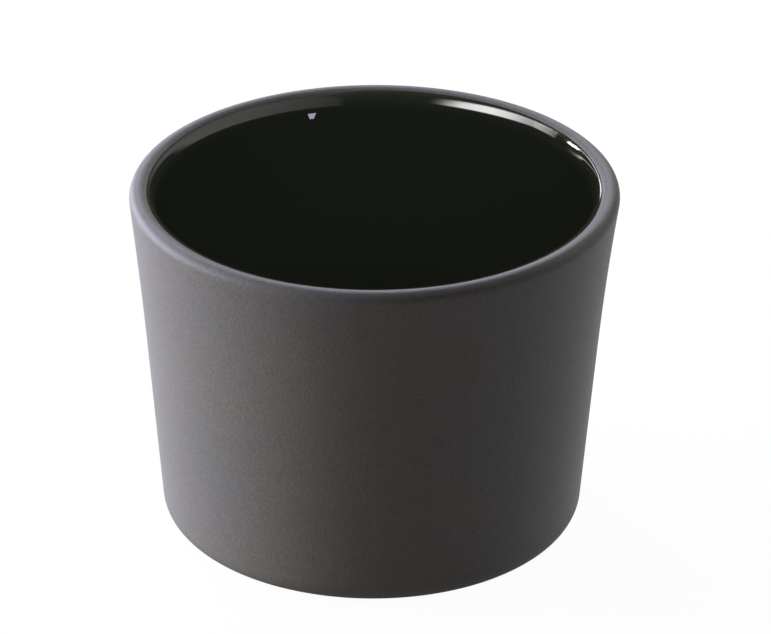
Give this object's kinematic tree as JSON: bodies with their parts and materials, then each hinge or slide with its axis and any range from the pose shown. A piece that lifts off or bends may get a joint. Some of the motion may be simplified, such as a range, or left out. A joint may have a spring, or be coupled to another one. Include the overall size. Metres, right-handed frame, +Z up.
{
  "type": "tapas bowl",
  "caption": "Small near-upright stoneware tapas bowl, bare matte slate-grey clay outside, glossy near-black glaze inside, softly rounded rim.",
  "frame": {"origin": "middle of the circle on which the bowl stands, at the height of the table", "axes": "+Z up, along the axis about which the bowl is round; X and Y are level"},
  "size_m": [0.08, 0.08, 0.0595],
  "materials": {
    "bare_clay": "matte",
    "dark_glaze": "polished"
  },
  "bodies": {
    "root": {"clay_body": "bare_clay", "glaze_lining": "dark_glaze"}
  },
  "joints": []
}
